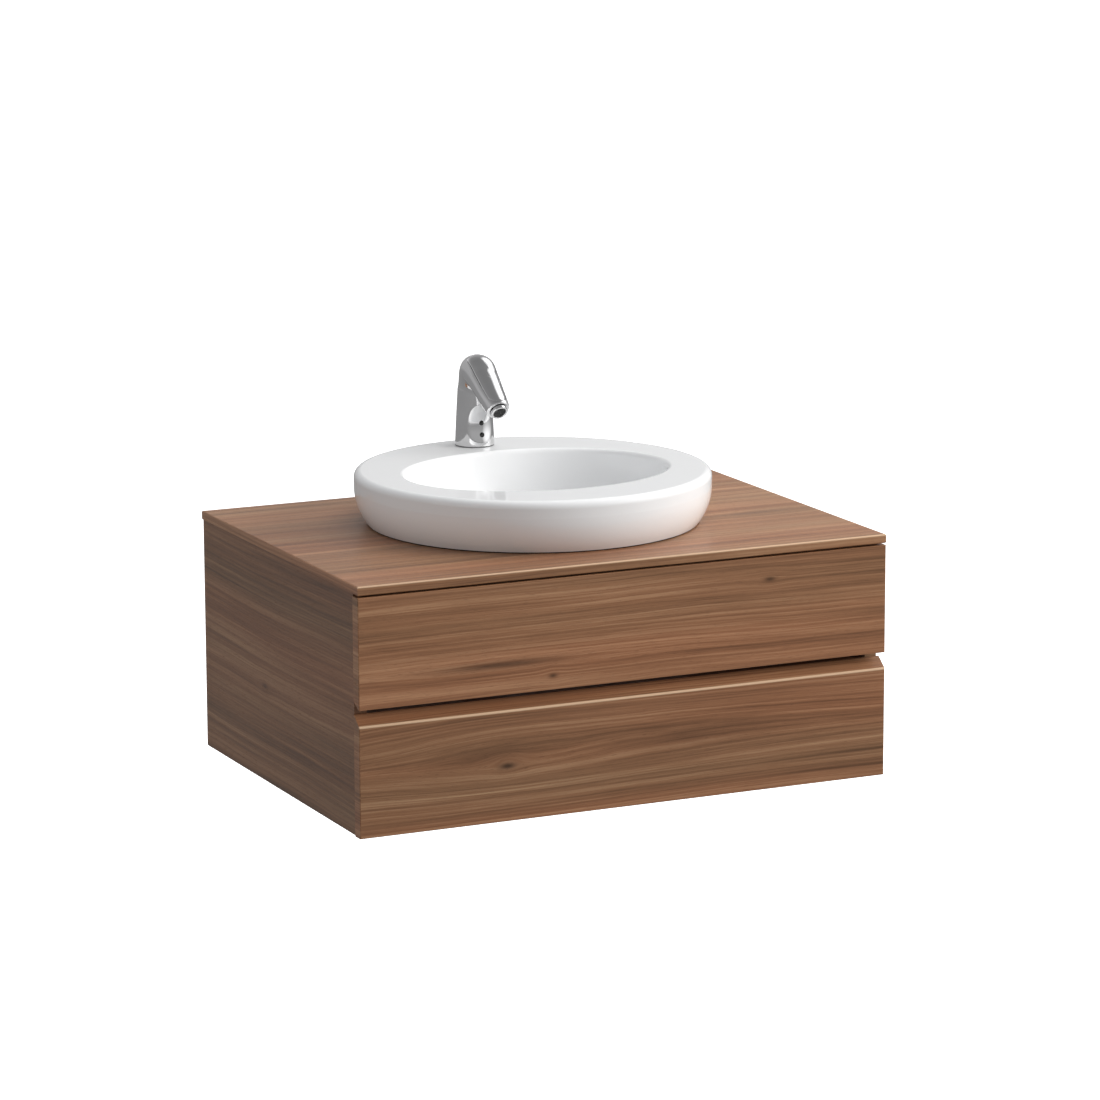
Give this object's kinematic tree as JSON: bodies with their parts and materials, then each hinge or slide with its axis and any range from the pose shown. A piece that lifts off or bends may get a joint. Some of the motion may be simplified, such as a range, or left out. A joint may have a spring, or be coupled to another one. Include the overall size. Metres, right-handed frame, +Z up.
{
  "type": "vessel sink on vanity",
  "caption": "Wall-hung walnut vanity with two handleless drawers, a round white basin set into its top and a chrome touch-free sensor tap.",
  "frame": {"origin": "middle of the footprint, on the level of the cabinet's underside", "axes": "+X to the right seen from the front, +Y back to the wall, +Z up"},
  "size_m": [0.7, 0.505, 0.488],
  "materials": {
    "walnut_veneer": "horizontal-grain walnut veneer, satin lacquer",
    "carcass_board": "plain wood-based board",
    "drawer_board": "grey-faced drawer board",
    "runner_steel": "zinc-plated sheet steel",
    "screw_steel": "zinc-plated steel",
    "beech_dowel": "plain beech",
    "guard_plastic": "moulded grey plastic",
    "white_ceramic": "glossy white glaze",
    "black_rubber": "soft black rubber",
    "polished_chrome": "polished chrome plate",
    "brass": "machined brass",
    "white_plastic": "smooth white plastic",
    "black_plastic": "fine-textured black plastic",
    "dark_window": "polished dark window"
  },
  "bodies": {
    "cabinet": {"countertop": "walnut_veneer", "side_panel_left": "walnut_veneer", "side_panel_right": "walnut_veneer", "grip_rail": "walnut_veneer", "bottom_panel": "walnut_veneer", "front_stretcher": "carcass_board", "hanging_rail": "carcass_board", "upper_runner_channel_left": "runner_steel", "upper_runner_channel_right": "runner_steel", "lower_runner_channel_left": "runner_steel", "lower_runner_channel_right": "runner_steel", "hanging_brackets": "runner_steel", "cabinet_screws": "screw_steel", "carcass_dowels": "beech_dowel", "basin": "white_ceramic", "basin_seal": "black_rubber", "drain_washer": "black_rubber", "tap_gasket": "black_rubber", "drain_flange": "polished_chrome", "tap_body": "polished_chrome", "tap_cover": "polished_chrome", "aerator": "polished_chrome", "drain_nut": "brass", "tap_stud": "brass", "tap_nut": "brass", "drain_cartridge": "white_plastic", "trap_inlet_pipe": "white_plastic", "trap_body": "white_plastic", "trap_cup": "white_plastic", "trap_outlet_pipe": "white_plastic", "trap_coupling_nuts": "white_plastic", "aerator_insert": "black_plastic", "sensor_module": "black_plastic", "tap_control_unit": "black_plastic", "sensor_windows": "dark_window"},
    "upper_drawer": {"upper_drawer_front": "walnut_veneer", "upper_drawer_box_front": "drawer_board", "upper_drawer_side_left": "drawer_board", "upper_drawer_side_right": "drawer_board", "upper_drawer_bottom": "drawer_board", "upper_drawer_back_left": "drawer_board", "upper_drawer_back_right": "drawer_board", "upper_runner_slide_left": "runner_steel", "upper_runner_slide_right": "runner_steel", "upper_front_screws": "screw_steel", "upper_drawer_drain_guard": "guard_plastic"},
    "lower_drawer": {"lower_drawer_front": "walnut_veneer", "lower_drawer_box_front": "drawer_board", "lower_drawer_side_left": "drawer_board", "lower_drawer_side_right": "drawer_board", "lower_drawer_bottom": "drawer_board", "lower_drawer_back": "drawer_board", "lower_runner_slide_left": "runner_steel", "lower_runner_slide_right": "runner_steel", "lower_front_screws": "screw_steel"},
    "upper_runner_middles": {"upper_runner_middle_left": "runner_steel", "upper_runner_middle_right": "runner_steel"},
    "lower_runner_middles": {"lower_runner_middle_left": "runner_steel", "lower_runner_middle_right": "runner_steel"},
    "waste_plug": {"drain_plug": "polished_chrome"}
  },
  "joints": [
    {"name": "upper_drawer_travel", "type": "slide", "parent": "cabinet", "child": "upper_drawer", "axis": [0, -1, 0], "range_m": [0, 0.38]},
    {"name": "lower_drawer_travel", "type": "slide", "parent": "cabinet", "child": "lower_drawer", "axis": [0, -1, 0], "range_m": [0, 0.38]},
    {"name": "upper_runner_travel", "type": "slide", "parent": "cabinet", "child": "upper_runner_middles", "axis": [0, -1, 0], "range_m": [0, 0.19]},
    {"name": "lower_runner_travel", "type": "slide", "parent": "cabinet", "child": "lower_runner_middles", "axis": [0, -1, 0], "range_m": [0, 0.19]},
    {"name": "waste_plug_travel", "type": "slide", "parent": "cabinet", "child": "waste_plug", "axis": [0, 0, 1], "range_m": [0, 0.008]}
  ],
  "couplings": [
    {"joint": "upper_runner_travel", "follows": "upper_drawer_travel", "ratio": 0.5},
    {"joint": "lower_runner_travel", "follows": "lower_drawer_travel", "ratio": 0.5}
  ]
}
